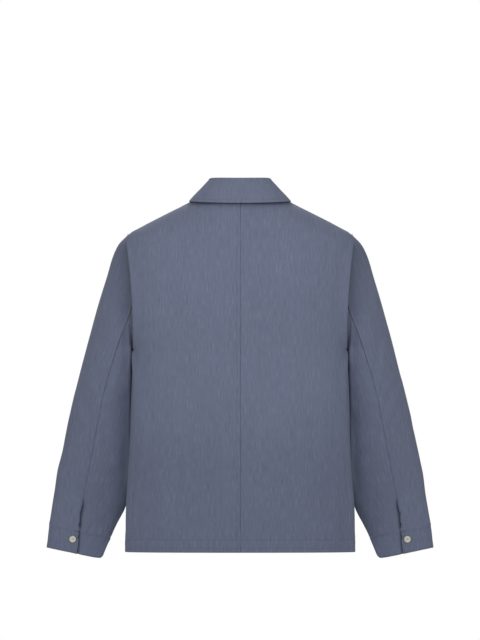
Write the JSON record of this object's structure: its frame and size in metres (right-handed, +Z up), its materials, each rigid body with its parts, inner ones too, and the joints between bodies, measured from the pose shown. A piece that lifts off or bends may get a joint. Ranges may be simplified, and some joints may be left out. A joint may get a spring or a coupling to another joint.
{
  "type": "zip-up jacket",
  "caption": "Zip-up cotton jacket, filled out with no wearer: shirt collar, centre-back seam, two-piece set-in sleeves, buttoned cuffs and a front zip closed to the neck.",
  "frame": {"origin": "centre of the neck opening at the height of the nape, where the wearer holds it up", "axes": "+X to the wearer's left, +Y to the back, +Z up"},
  "size_m": [0.7558, 0.2538, 0.7438],
  "materials": {
    "chambray": "matte slate-blue chambray with fine slubs",
    "chambray_collar": "matte slate-blue chambray with fine slubs",
    "button": "cream, satin",
    "zip_tape": "woven tape, dark blue",
    "zip_metal": "plain nickel"
  },
  "bodies": {
    "jacket": {"back_left": "chambray", "back_right": "chambray", "front_left": "chambray", "front_right": "chambray", "sleeve_upper_left": "chambray", "sleeve_upper_right": "chambray", "sleeve_under_left": "chambray", "sleeve_under_right": "chambray", "placket_left": "chambray", "placket_right": "chambray", "cuff_left": "chambray", "cuff_right": "chambray", "collar": "chambray_collar", "cuff_button_left": "button", "cuff_button_right": "button", "zip_tape_left": "zip_tape", "zip_tape_right": "zip_tape", "zip_chain": "zip_metal", "zip_slider": "zip_metal", "zip_box": "zip_metal", "zip_stop_left": "zip_metal", "zip_stop_right": "zip_metal"},
    "zip_pull": {"zip_pull": "zip_metal"}
  },
  "joints": [
    {"name": "pull_swing", "type": "hinge", "parent": "jacket", "child": "zip_pull", "pos_m": [0, -0.08763, -0.08805], "axis": [-1, 0, 0], "range_deg": [0, 170]}
  ]
}
